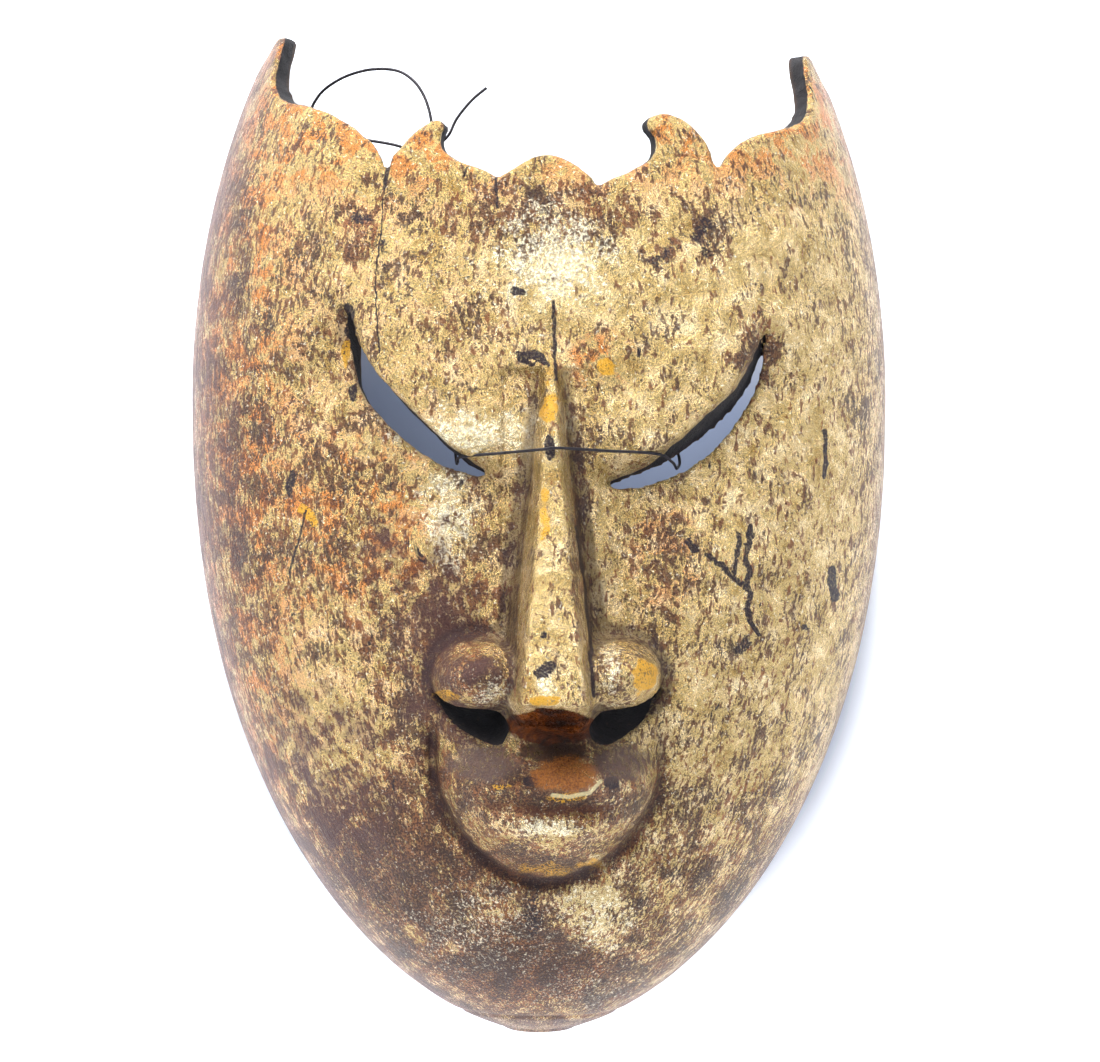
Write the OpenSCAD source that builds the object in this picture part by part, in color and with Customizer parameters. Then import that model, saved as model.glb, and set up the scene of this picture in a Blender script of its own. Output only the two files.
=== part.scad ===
/* [Outline] */
// Widest part of the mask, side to side
mask_w = 145; // [120:1:174]
// Whole height, chin to the tip of the higher horn
mask_h = 208.6; // [174:0.2:250]
// Depth of the face in front of the back rim, without the nose
face_depth = 58; // [48:1:70]
// Thickness of the carved wall
wall = 5; // [4:0.1:6]

/* [Crown edge] */
// Height of the horns above the middle peak of the crown edge
horn_rise = 28; // [22:0.5:34]
// How much lower the right horn and scallop stand than the left ones
side_drop = 3.8; // [0:0.1:6]
// Height of the hooks above the middle peak
hook_rise = 8; // [5:0.5:10]

/* [Eyes] */
// Widest opening of the two eye slits
slit_gap = 4.6; // [3.8:0.1:6]
// How far the brow stands proud of the cheek at a slit
brow_step = 3; // [1:0.1:4.5]

/* [Nose] */
// How far the nose tip stands out of the face
nose_out = 20; // [16:0.5:24]
// Half the width over the two nostril wings
wing_reach = 22; // [18:0.5:26]
// Half the width of a nostril
nostril_w = 6; // [4.5:0.1:7]
// Half the height of a nostril
nostril_h = 4; // [3:0.1:5]

/* [Mouth] */
// How far the mouth boss stands out of the face
boss_out = 9; // [6:0.5:12]
// Half the width of the mouth boss
boss_reach = 21; // [18:0.5:24]

/* [Wire] */
// Thickness of the iron wire
wire_d = 0.6; // [0.4:0.05:0.7]

/* [Hidden] */

// Scale of the carved features: 1 at the stated width and height
kx = mask_w / 145;
kz = mask_h / 208.6;
// Heights are measured from the middle of the mask's height
widest_z = 29 * kz;
chin_z = -104.3 * kz;
horn_z = chin_z + mask_h;
peak_z = horn_z - horn_rise;
// The horizontal sections are superellipses of this power
girth = 2.25;
nose_root_z = 38 * kz;
nose_tip_z = -31 * kz;
nose_foot_z = -40 * kz;
boss_z = -46 * kz;
nostril_x = wing_reach - 8;
nostril_z = -35.5 * kz;

// Each eye slit: inner end, outer end, sag of its upper edge
slit_left = [[-12 * kx, 14 * kz], [-40 * kx, 45.5 * kz], 4];
slit_right = [[11.5 * kx, 12.5 * kz], [44 * kx, 41.5 * kz], 5];

// Right half of the crown edge, from the middle outward: sideways, then above the peak
crown_half = [
    [3.5, -0.6], [8, -3.4], [10.2, -5.2], [13, -4], [18, -2], [20.4, 0],
    [20.6, 0.5 * hook_rise], [20.8, hook_rise - 0.7], [21.8, hook_rise], [24, hook_rise - 0.8],
    [27, 0.5 * hook_rise], [30.5, 1.2], [32.7, -0.8], [35, 2.4], [38.5, 5.5], [43, 8.2],
    [48, 9.6], [53, 10.6], [54, 12.5], [54.5, 0.65 * horn_rise], [54.3, 0.93 * horn_rise],
    [54.9, horn_rise]];

// Where the wires run behind the forehead: sideways, height, distance behind the inner skin.
// The nose wire comes down to the left slit and goes up again from the right one.
nose_down = [[-24, 52, 2], [-20.5, 32, 2], [-18.6, 19, 2], [-18.2, 15.2, 0.3]];
nose_up = [[26.2, 14, 0.2], [26.6, 17, 2.6], [22, 28, 3], [9, 42, 4], [-6, 53, 4], [-19, 62, 3]];
// The loop wire runs from its free tail, along the left notch, up and over to the hook
loop_way = [[-12, 91, 1.5], [-15, 88.5, 1.8], [-18, 84.8, 2], [-20, 81, 2], [-23.6, 78.6, 3],
    [-27, 78.6, 3], [-31, 79.8, 2.6], [-36, 80.8, 2], [-42, 82, 1.8], [-46.6, 84.2, 1.8],
    [-47.8, 87.5, 1.8], [-46.4, 90.6, 1.8], [-44, 92.8, 1.8], [-40, 94.7, 1.8], [-35, 95.6, 1.8],
    [-30, 95, 1.8], [-26.6, 92.6, 1.8], [-24.4, 89, 1.8], [-23.2, 84.5, 1.6], [-23, 80.5, 1.8]];

// Smooth step from 0 at a to 1 at b
function ramp(a, b, t) = let (u = min(1, max(0, (t - a) / (b - a)))) u * u * (3 - 2 * u);
// Larger of two values, blended over k
function soft_max(a, b, k) = let (h = max(0, k - abs(a - b))) max(a, b) + h * h / (4 * k);
// Round hump of height 1
function hump(x, z, cx, cz, rx, rz) = exp(-pow((x - cx) / rx, 2) - pow((z - cz) / rz, 2));

// Half width and depth of the bowl at height z, for a skin t mm inside the outer one
function half_w(z, t) = (mask_w / 2 - t) * (z > widest_z
    ? sqrt(max(0, 1 - pow((z - widest_z) / (118 * kz - t), 2)))
    : pow(max(0, 1 - pow((widest_z - z) / (widest_z - chin_z - t), 2.2)), 0.58));
function depth(z, t) = (face_depth - t) * (z > widest_z
    ? 1 - 0.43 * pow((z - widest_z) / (118 * kz), 2)
    : pow(max(0, 1 - pow((widest_z - z) / (widest_z - chin_z - t), 4.5)), 0.5));

// Straight nose ridge: how far down it we are, its height, half width at top and at foot
function nose_run(z) = max(0, (nose_root_z - z) / (nose_root_z - nose_tip_z));
function nose_h(z) = nose_out * (0.1 * ramp(0, 0.1, nose_run(z)) + 0.9 * nose_run(z))
    * (1 - ramp(nose_tip_z, nose_foot_z, z));
function ridge_w(z) = 1.5 + 4.7 * pow(nose_run(z), 1.6);
function foot_w(z) = ridge_w(z) + 2.4 + 3.6 * min(1, nose_run(z));
function nose(x, z) = nose_h(z) * (1 - ramp(ridge_w(z), foot_w(z), abs(x)));
// Round wing on each side of the nose tip
function wing(x, z) = let (
        r2 = pow((abs(x) - wing_reach + 8.5) / 9.5, 2) + pow((z + 25 * kz) / 9.5, 2))
    (nose_out - 7) * pow(max(0, 1 - r2), 0.8);
// Mouth boss: broad, steep at its edge and closed off by a groove
function boss(x, z) = let (
        r = norm([x / boss_reach, (z - boss_z) / (z > boss_z ? 16 : 22.5)]))
    boss_out * pow(max(0, 1 - pow(r, 3.2)), 0.6) - 1.2 * exp(-pow((r - 1.07) / 0.08, 2));
// Knob of the upper lip and the crease over the lower lip
function lip(x, z) = 2.6 * hump(x, z, 3.5, boss_z - 0.5, 6, 3.6)
    - 1.4 * exp(-pow((z - boss_z + 6.5) / 1.8, 2)) * (1 - ramp(12, 18, abs(x)));

// Position along a slit (0 to 1) and height of a point above the slit's middle line
function slit_t(s, p) = let (d = s[1] - s[0]) (p - s[0]) * d / (d * d);
function slit_n(s) = let (d = s[1] - s[0], v = [-d[1], d[0]] / norm(d)) v[1] > 0 ? v : -v;
function slit_up(s, p) = let (t = min(1, max(0, slit_t(s, p))))
    (p - s[0]) * slit_n(s) + (s[2] + slit_gap / 2) * 4 * t * (1 - t);
// The cheek lies lower than the brow along each slit
function brow(s, p) = let (t = slit_t(s, p), u = slit_up(s, p))
    brow_step * ramp(-0.25, 0.2, t) * (1 - ramp(0.75, 1.2, t))
    * (ramp(-4, 4, u) * 1.5 * exp(-pow(u / 22, 2)) - exp(-pow(u / 20, 2)));

function relief(x, z) =
    soft_max(soft_max(nose(x, z), wing(x, z), 2), boss(x, z) + lip(x, z), 1.5)
    + brow(slit_left, [x, z]) + brow(slit_right, [x, z])
    - 2 * (hump(x, z, -15, 0, 8, 18) + hump(x, z, 15, 0, 8, 18));
// Behind the nose and the mouth the bowl is cut a little deeper
function hollow(x, z) = 9 * hump(x, z, 0, -18 * kz, 7, 16) + 4 * hump(x, z, 0, boss_z - 4, 14, 12);

// Point of the skin t mm inside, q from -1 to 1 across; y on the plain bowl; its normal
function bowl_y(q, z, t) = -depth(z, t) * pow(max(0, 1 - pow(abs(q), girth)), 1 / girth);
function skin(q, z, t) = let (
        x = half_w(z, t) * q,
        y = bowl_y(q, z, t),
        d = t > 0 ? hollow(x, z) : relief(x, z))
    [x, y - d * ramp(0, 0.5, -y / face_depth), z];
function normal(x, z) = let (
        q = min(1, abs(x) / half_w(z, 0)),
        v = [sign(x) * pow(q, girth - 1) / half_w(z, 0),
             -pow(-bowl_y(q, z, 0) / depth(z, 0), girth - 1) / depth(z, 0), 0])
    v / norm(v);

// Columns lie closer together over the nose; rows over the nose and mouth and at the chin
function column(i, n) = let (s = 2 * i / n - 1) sin(90 * (0.4 * s + 0.6 * pow(s, 3)));
function heights(n, foot, head) = [for (j = [0:n]) let (s = j / n)
    foot + (head - foot) * (s - 0.08 * (sin(360 * (s - 0.27)) + sin(360 * 0.27)))
        * s / max(0.001, s + 0.03 * (1 - s))];

// Skins a solid from rings that all have the same number of points
module loft(rings) {
    n = len(rings[0]);
    last = (len(rings) - 1) * n;
    polyhedron([for (r = rings) each r], concat(
        [for (j = [0:n:last - n], i = [0:n - 1]) let (k = (i + 1) % n)
            each [[j + i, j + n + i, j + k], [j + k, j + n + i, j + n + k]]],
        [[for (i = [0:n - 1]) i]],
        [[for (i = [n - 1:-1:0]) last + i]]), convexity = 8);
}

// Solid bowl with one skin, closed behind the back rim
module bowl(t, n, levels) {
    loft([for (z = levels) concat([[-half_w(z, t), 3 + t, z]],
        [for (i = [0:n]) skin(column(i, n), z, t)], [[half_w(z, t), 3 + t, z]])]);
}

// Everything above the crown edge, cut square to the wall
module above_crown() {
    half = [for (p = crown_half) [p[0] * kx, peak_z + p[1]]];
    edge = concat([for (i = [len(half) - 1:-1:0]) [-half[i][0], half[i][1]]], [[0, peak_z]],
        [for (p = half) [p[0], p[1] - side_drop * ramp(32, 46, p[0] / kx)]]);
    ends = [for (p = [edge[0], edge[len(edge) - 1]])
        [for (y = [-5, 6]) [sign(p[0]) * half_w(p[1], 0), y, p[1] - (y > 0 ? 8 : 3)]]];
    loft([for (p = concat([ends[0][1], ends[0][0]],
            [for (e = edge) [e[0], bowl_y(e[0] / half_w(e[1], 0), e[1], 0), e[1]]], ends[1]))
        let (v = normal(p[0], p[2]), a = p + 7 * v, b = p - (wall + 7) * v, top = horn_z + 20)
        [b, [0.5 * b[0], 0.5 * b[1], top], [a[0], a[1], top], a]]);
}

// Crescent cut through the brow, leaning down and to the right as it goes in
module slit(s) {
    lean = [0.2, 1, -0.3];
    loft([for (i = [0:14]) let (
            t = i / 14,
            c = s[0] + t * (s[1] - s[0]) - (s[2] * 4 * t * (1 - t)) * slit_n(s),
            e = c - (0.6 + (slit_gap - 0.6) * pow(4 * t * (1 - t), 0.7)) * slit_n(s),
            y = bowl_y(c[0] / half_w(c[1], 0), c[1], 0),
            u = [c[0], y, c[1]],
            w = [e[0], y, e[1]],
            hi = s[1][0] > 0 ? w : u,
            lo = s[1][0] > 0 ? u : w)
        [hi - 12 * lean, hi + 20 * lean, lo + 20 * lean, lo - 12 * lean]]);
}

// Nostril bored inward and upward
module nostril(side) {
    translate([side * nostril_x, -face_depth - 5, nostril_z]) rotate([-68, 0, side * 8])
        scale([nostril_w, nostril_h, 1]) cylinder(h = 70, r = 1, center = true, $fn = 28);
}

module mask_shell() {
    color("DarkGoldenrod") difference() {
        resize([mask_w, 0, 0]) difference() {
            bowl(0, 50, heights(54, chin_z + 0.05, horn_z + 8));
            bowl(wall, 22, heights(22, chin_z + wall + 0.05, horn_z + 10));
            above_crown();
            slit(slit_left);
            slit(slit_right);
            nostril(-1);
            nostril(1);
        }
        translate([-mask_w, 0, -mask_h]) cube([2 * mask_w, 20, 2 * mask_h]);
    }
}

// A smooth curve through the points p, k pieces between each two
function curve(p, k) = let (n = len(p) - 1) concat([for (i = [0:n - 1], j = [0:k - 1]) let (
        a = p[max(0, i - 1)], b = p[i], c = p[i + 1], d = p[min(n, i + 2)], t = j / k)
    b + t / 2 * (c - a + t * (2 * a - 5 * b + 4 * c - d + t * (3 * (b - c) + d - a)))], [p[n]]);
// Heights above the brows follow the crown edge
function lift(z) = z > 76.3 ? peak_z + z - 76.3
    : z > 40 ? 40 * kz + (z - 40) * (peak_z - 40 * kz) / 36.3 : z * kz;
// A point behind the inner skin, and one over the face
function behind(p) = let (x = p[0] * kx, z = lift(p[1]))
    [x, skin(x / half_w(z, wall), z, wall)[1] + p[2], z];
function over(x, z, gap) = skin(x * kx / half_w(z * kz, 0), z * kz, 0) - [0, gap, 0];
// Both wires are twisted together behind the left hook, about this upright line
twist = behind([-25, 76.3, 1.6]);
// Turns of wire round the twist line between two heights
function coil(turns, from, to, start) = [for (i = [0:8 * turns]) let (a = start + 45 * i)
    twist + [(wire_d + 0.15) * cos(a), (wire_d + 0.15) * sin(a),
        from + (to - from) * i / (8 * turns)]];

// Round wire along a path; each ring is carried on from the one before it
module wire(path) {
    n = len(path) - 1;
    way = [for (i = [0:n]) let (d = path[min(n, i + 1)] - path[max(0, i - 1)]) d / norm(d)];
    side = [for (i = 0, v = cross(way[0], [0.3, 1, 0.2]); i <= n; i = i + 1,
        v = i > n ? v : v - way[i] * (way[i] * v)) v / norm(v)];
    loft([for (i = [0:n]) let (u = cross(way[i], side[i])) [for (k = [0:7])
        path[i] + wire_d / 2 * (cos(45 * k) * side[i] + sin(45 * k) * u)]]);
}

module nose_wire() {
    left = over(-17.2, 16.2, 0.9);
    right = over(21.6, 16.8, 0.9);
    top = [over(-1.6, 17.5, 0.6), over(1.6, 17.8, 0.6)];
    color("DimGray") wire(concat(curve(concat(
            [for (h = [0.5, -6, -12]) twist + [0, 0, h]], [for (p = nose_down) behind(p)],
            [left + [-0.8, 2.6, -1], left, 0.5 * (left + top[0])], top,
            [0.5 * (right + top[1]), right, right + [3.3, 2.8, -1.6]],
            [for (p = nose_up) behind(p)]), 2), coil(2, -10, -6, 150)));
}

module hanging_loop() {
    color("DimGray") wire(concat(curve([for (p = loop_way) behind(p)], 2), coil(1.5, -0.5, -4, 60)));
}

mask_shell();
nose_wire();
hanging_loop();
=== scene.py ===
import math

import bpy
import numpy as np
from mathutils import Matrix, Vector


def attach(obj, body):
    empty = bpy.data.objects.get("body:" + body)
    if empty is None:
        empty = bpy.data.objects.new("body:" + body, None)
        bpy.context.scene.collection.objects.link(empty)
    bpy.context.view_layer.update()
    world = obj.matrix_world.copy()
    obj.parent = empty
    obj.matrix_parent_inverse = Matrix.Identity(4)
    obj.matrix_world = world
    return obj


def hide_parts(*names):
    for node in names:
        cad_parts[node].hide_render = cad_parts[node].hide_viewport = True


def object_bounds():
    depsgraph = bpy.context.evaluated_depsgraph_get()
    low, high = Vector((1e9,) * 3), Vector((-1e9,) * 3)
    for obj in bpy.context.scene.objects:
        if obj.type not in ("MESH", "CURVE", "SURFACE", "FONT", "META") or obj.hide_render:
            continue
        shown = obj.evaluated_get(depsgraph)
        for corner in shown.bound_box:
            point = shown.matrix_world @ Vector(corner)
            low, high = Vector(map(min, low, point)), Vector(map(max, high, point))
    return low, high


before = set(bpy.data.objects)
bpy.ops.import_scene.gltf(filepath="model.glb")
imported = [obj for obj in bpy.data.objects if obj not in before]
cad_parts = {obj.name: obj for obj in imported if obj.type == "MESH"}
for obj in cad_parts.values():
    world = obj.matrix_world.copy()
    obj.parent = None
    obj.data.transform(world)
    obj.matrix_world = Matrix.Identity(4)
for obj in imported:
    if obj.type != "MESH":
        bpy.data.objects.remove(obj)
cad_lo, cad_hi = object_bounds()
scene = bpy.context.scene
MM = 0.001

# ------------------------------------------------------------------ camera
# Almost square on, a touch from the left, far away with a long lens
AIM = Vector((0.1 * MM, -65 * MM, 1.4 * MM))
AZIMUTH = math.radians(-2.0)
DISTANCE = 0.885
LENS, SENSOR = 146.5, 36
cam_data = bpy.data.cameras.new("camera")
cam_data.lens, cam_data.sensor_width = LENS, SENSOR
cam_data.clip_start, cam_data.clip_end = 0.05, 20
cam = bpy.data.objects.new("camera", cam_data)
scene.collection.objects.link(cam)
back = Vector((math.sin(AZIMUTH), -math.cos(AZIMUTH), 0))
cam.location = AIM + back * DISTANCE
cam.rotation_mode = "QUATERNION"
cam.rotation_quaternion = (-back).to_track_quat("-Z", "Y")
scene.camera = cam


# ------------------------------------------------------------------ wires
# Both wires follow the routes of their CAD nodes, in mm, and end in one twist behind the
# left hook
WIRE = 0.6 * MM
TWIST = (-25, -44.71, 76.3)
TWIST_R = 0.75
TURN_POINTS = 24        # points in one turn of the twist
ROUTE_STEPS = 8         # points between two route points
NOSE_WAY = [
    (-25, -44.71, 76.8), (-25, -44.71, 70.3), (-25, -44.71, 64.3), (-24, -47.69, 52),
    (-20.5, -49.34, 32), (-18.6, -49.68, 19), (-18.2, -51.43, 15.2), (-18, -54.62, 15.2),
    (-17.2, -57.22, 16.2), (-9.4, -61.8, 16.85), (-1.6, -66.38, 17.5), (1.6, -66.35, 17.8),
    (11.6, -62.21, 17.3), (21.6, -58.07, 16.8), (24.9, -55.27, 15.2), (26.2, -49.86, 14),
    (26.6, -47.37, 17), (22, -48.07, 28), (9, -48.47, 42), (-6, -47.95, 53), (-19, -46.74, 62)]
LOOP_WAY = [
    (-12, -44.57, 91), (-15, -44.37, 88.5), (-18, -44.38, 84.8), (-20, -44.7, 81),
    (-23.6, -43.28, 78.6), (-27, -42.28, 78.6), (-31, -40.98, 79.8), (-36, -39.03, 80.8),
    (-42, -35.17, 82), (-46.6, -30.49, 84.2), (-47.8, -27.79, 87.5), (-46.4, -27.92, 90.6),
    (-44, -29.44, 92.8), (-40, -32.25, 94.7), (-35, -35.48, 95.6), (-30, -38.38, 95),
    (-26.6, -40.46, 92.6), (-24.4, -42.09, 89), (-23.2, -43.63, 84.5), (-23, -44.28, 80.5)]


def smooth_way(points, k):
    """A Catmull-Rom curve through the points, with k steps between each two."""
    p = [np.array(q, float) for q in points]
    out = []
    for i in range(len(p) - 1):
        a, b, c, d = p[max(0, i - 1)], p[i], p[i + 1], p[min(len(p) - 1, i + 2)]
        for j in range(k):
            t = j / k
            out.append(b + t / 2 * (c - a + t * (2 * a - 5 * b + 4 * c - d
                                                 + t * (3 * (b - c) + d - a))))
    return out + [p[-1]]


def coil(turns, start, low, high):
    """Turns round the twist's axis, from a start angle and between two heights."""
    n = int(TURN_POINTS * turns)
    angles = [math.radians(start + 360 * i / TURN_POINTS) for i in range(n + 1)]
    return [np.array(TWIST) + np.array((TWIST_R * math.cos(a), TWIST_R * math.sin(a),
                                        low + (high - low) * i / n))
            for i, a in enumerate(angles)]


def wire(name, way, node, material):
    """A round wire along a route; its length in metres."""
    pts = np.array(way) * MM
    curve = bpy.data.curves.new(name, "CURVE")
    curve.dimensions = "3D"
    spline = curve.splines.new("POLY")
    spline.points.add(len(pts) - 1)
    spline.points.foreach_set("co", np.hstack([pts, np.ones((len(pts), 1))]).ravel())
    curve.bevel_depth, curve.bevel_resolution = WIRE / 2, 3
    curve.use_fill_caps = True
    curve.materials.append(material)
    obj = bpy.data.objects.new(name, curve)
    scene.collection.objects.link(obj)
    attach(obj, "root")
    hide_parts(node)
    length = float(np.linalg.norm(np.diff(pts, axis=0), axis=1).sum())
    return length


class Nodes:
    """Short names for building a node tree."""

    def __init__(self, tree):
        self.t = tree

    def add(self, kind, **props):
        n = self.t.nodes.new(kind)
        for k, v in props.items():
            setattr(n, k, v)
        return n

    def link(self, value, socket):
        """Feed a socket from another socket, or set it to a constant."""
        if isinstance(value, bpy.types.NodeSocket):
            self.t.links.new(value, socket)
        elif value is not None:
            socket.default_value = value

    def math(self, op, a, b=None, c=None, clamp=False):
        n = self.add("ShaderNodeMath", operation=op, use_clamp=clamp)
        for v, s in zip((a, b, c), n.inputs):
            self.link(v, s)
        return n.outputs[0]

    def vec(self, op, a, b=None, out=0):
        n = self.add("ShaderNodeVectorMath", operation=op)
        self.link(a, n.inputs[0])
        if op == "SCALE":
            self.link(b, n.inputs[3])
        elif b is not None:
            self.link(b, n.inputs[1])
        return n.outputs[out]

    def step(self, value, low, high, to_low=0.0, to_high=1.0):
        """A smooth step, which falls where low is above high."""
        n = self.add("ShaderNodeMapRange", interpolation_type="SMOOTHSTEP")
        for v, s in zip((value, low, high, to_low, to_high), n.inputs):
            self.link(v, s)
        return n.outputs[0]

    def noise(self, vector, scale, detail=3.0, rough=0.55, distort=0.0):
        n = self.add("ShaderNodeTexNoise")
        self.link(vector, n.inputs["Vector"])
        n.inputs["Scale"].default_value = scale
        n.inputs["Detail"].default_value = detail
        n.inputs["Roughness"].default_value = rough
        n.inputs["Distortion"].default_value = distort
        return n.outputs[0]

    def mix(self, factor, a, b, kind="RGBA"):
        n = self.add("ShaderNodeMix", data_type=kind)
        self.link(factor, n.inputs[0])
        first = 6 if kind == "RGBA" else 2
        self.link(a, n.inputs[first])
        self.link(b, n.inputs[first + 1])
        return n.outputs[2 if kind == "RGBA" else 0]

    def ramp(self, value, stops):
        n = self.add("ShaderNodeValToRGB")
        self.link(value, n.inputs[0])
        e = n.color_ramp.elements
        while len(e) < len(stops):
            e.new(0.5)
        for el, (pos, col) in zip(e, stops):
            el.position, el.color = pos, col
        return n.outputs[0]


def rgb(r, g, b):
    """Colour from 0 to 255 sRGB values."""
    def linear(c):
        return c / 12.92 if c <= 0.04045 else ((c + 0.055) / 1.055) ** 2.4
    return (linear(r / 255), linear(g / 255), linear(b / 255), 1.0)


def new_material(name):
    """A material with one principled shader, its node helper and that shader."""
    m = bpy.data.materials.new(name)
    m.use_nodes = True
    t = m.node_tree
    t.nodes.clear()
    n = Nodes(t)
    out = n.add("ShaderNodeOutputMaterial")
    bsdf = n.add("ShaderNodeBsdfPrincipled")
    t.links.new(bsdf.outputs[0], out.inputs[0])
    return m, n, bsdf


def iron_material():
    m, n, bsdf = new_material("blackened_iron")
    co = n.add("ShaderNodeTexCoord").outputs["Object"]
    spots = n.noise(co, 900, 4, 0.6)
    n.link(n.ramp(spots, [(0.3, rgb(38, 36, 40)), (0.62, rgb(66, 62, 66)),
                          (0.8, rgb(98, 72, 54))]), bsdf.inputs["Base Color"])
    bsdf.inputs["Metallic"].default_value = 0.7
    n.link(n.step(spots, 0.3, 0.7, 0.38, 0.6), bsdf.inputs["Roughness"])
    bump = n.add("ShaderNodeBump")
    bump.inputs["Strength"].default_value = 0.25
    bump.inputs["Distance"].default_value = 0.05 * MM
    n.link(spots, bump.inputs["Height"])
    n.link(bump.outputs[0], bsdf.inputs["Normal"])
    return m


iron = iron_material()
nose_length = wire("nose_wire_iron", smooth_way(NOSE_WAY, ROUTE_STEPS) + coil(2, 150, -10, -6),
                   "nose_wire", iron)
loop_length = wire("hanging_loop_iron", smooth_way(LOOP_WAY, ROUTE_STEPS) + coil(1.5, 60, -0.5, -4),
                   "hanging_loop", iron)
print("wire lengths in mm:", round(nose_length / MM, 1), round(loop_length / MM, 1))


# ------------------------------------------------------------------ carved shell
# The shell is a solid field: the same bowl, relief and cuts as the CAD node, with the
# worn edges and hand-cut unevenness that the carving shows. All sizes here are in mm.
W = 73.3                # half of the width
DEPTH = 58.0            # of the plain bowl, without the relief
WALL = 5.0
POWER = 2.25            # roundness of the bowl's cross-section
WIDEST = 29.0           # height of the widest place
CHIN = -104.3           # height of the chin's tip
CROWN = 118.0           # how far above WIDEST the uncut bowl would close
STEP = 0.84             # spacing of the field's grid
TOP_START = 62          # height above which the crown edge is cut


def ramp(a, b, t):
    """A smooth step from 0 at a to 1 at b."""
    u = np.clip((t - a) / (b - a), 0, 1)
    return u * u * (3 - 2 * u)


def hump(x, z, cx, cz, rx, rz):
    """A rounded hump of height 1 about a centre."""
    return np.exp(-((x - cx) / rx) ** 2 - ((z - cz) / rz) ** 2)


def soft_max(a, b, k):
    """The larger of two fields, rounded over a width k where they meet."""
    h = np.maximum(0, k - np.abs(a - b))
    return np.maximum(a, b) + h * h / (4 * k)


def half_w(z, t=0.0):
    """Half width of the bowl at a height, for a skin that lies t inside the outer one."""
    up = np.sqrt(np.clip(1 - ((z - WIDEST) / (CROWN - t)) ** 2, 0, 1))
    low = np.clip(1 - np.clip((WIDEST - z) / (WIDEST - CHIN - t), 0, 1) ** 2.2, 0, 1) ** 0.58
    return (W - t) * np.where(z > WIDEST, up, low)


def depth(z, t=0.0):
    """Depth of the bowl at a height, for a skin that lies t inside the outer one."""
    up = 1 - 0.43 * ((z - WIDEST) / CROWN) ** 2
    low = np.clip(1 - np.clip((WIDEST - z) / (WIDEST - CHIN - t), 0, 1) ** 4.5, 0, 1) ** 0.5
    return (DEPTH - t) * np.where(z > WIDEST, up, low)


def waves(points, size, seed, count=24):
    """Smooth random unevenness of about the given size, between -1 and 1."""
    r = np.random.default_rng(seed)
    out = np.zeros(points[0].shape, np.float32)
    for _ in range(count):
        d = r.normal(size=len(points))
        d *= 2 * math.pi / (size * r.uniform(0.7, 1.6) * np.linalg.norm(d))
        out += np.cos(sum(c * q for c, q in zip(d, points)) + r.uniform(0, 2 * math.pi))
    return out / math.sqrt(count) * 0.8


def side_distance(px, pz, x, z):
    """Signed distance in a plane to a closed outline, negative inside it."""
    best = np.full(x.shape, 1e9)
    inside = np.zeros(x.shape, bool)
    n = len(px)
    for i in range(n):
        ax, az, bx, bz = px[i], pz[i], px[(i + 1) % n], pz[(i + 1) % n]
        dx, dz = bx - ax, bz - az
        t = np.clip(((x - ax) * dx + (z - az) * dz) / (dx * dx + dz * dz + 1e-12), 0, 1)
        best = np.minimum(best, (x - ax - t * dx) ** 2 + (z - az - t * dz) ** 2)
        if dz:
            hit = ((az > z) != (bz > z)) & (x < dx * (z - az) / dz + ax)
            inside ^= hit
    return np.where(inside, -1, 1) * np.sqrt(best)


class Table:
    """Values on a fine grid over the face plane, read between its points."""

    def __init__(self, x0, z0, step, values):
        self.x0, self.z0, self.step = x0, z0, step
        self.v = values.astype(np.float32)

    def __call__(self, x, z):
        u = np.clip((x - self.x0) / self.step, 0, self.v.shape[0] - 1.001)
        w = np.clip((z - self.z0) / self.step, 0, self.v.shape[1] - 1.001)
        i, j = u.astype(np.int32), w.astype(np.int32)
        u, w = u - i, w - j
        v = self.v
        return ((v[i, j] * (1 - u) + v[i + 1, j] * u) * (1 - w)
                + (v[i, j + 1] * (1 - u) + v[i + 1, j + 1] * u) * w)


# The crown edge from the left horn to the right one
CROWN_EDGE = [
    (-66, 96), (-60, 98.6), (-57.6, 100.8), (-55.6, 104), (-54.4, 104.4), (-53.9, 103.4),
    (-54.6, 100), (-55.3, 96), (-55, 92.5), (-53.6, 89.9), (-51, 88.7), (-47.4, 87.7),
    (-44, 86.2), (-40.8, 84.4), (-37.8, 82.0), (-35.2, 79.6), (-33.4, 77.0), (-32, 73.6),
    (-31.2, 76.2), (-29.2, 78.6), (-27.2, 80.8), (-25.3, 82.4), (-23.1, 83.8), (-21.6, 84),
    (-20.7, 83.2), (-20.5, 81.8), (-21.2, 80), (-20.9, 78), (-19.6, 76.6), (-17.3, 75.4),
    (-14.4, 74.3), (-11.2, 72.9), (-9.9, 71.9), (-8.6, 72.9), (-5.8, 74.6), (-2.9, 76.2),
    (0, 76.7), (2.4, 76.3), (5.8, 74.5), (8.7, 72.2), (9.9, 70.4), (11.4, 71.2), (15.4, 73),
    (18.8, 74.7), (20.8, 76.2), (21.7, 78), (21.5, 80.4), (20.1, 82), (19.9, 83.6),
    (21, 84.9), (23.6, 85.4), (27.2, 84.4), (30.3, 82), (32.7, 79), (34.4, 74.6),
    (36.7, 77.8), (39.6, 80.1), (42.6, 81.7), (46, 82.8), (49.4, 83.7), (52, 85), (53.7, 86.8),
    (54.6, 89.2), (54.8, 92.5), (54.4, 96.5), (54.4, 99.6), (55.3, 100.7), (56.6, 100),
    (58.2, 97.2), (61, 94), (66, 91)]
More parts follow.
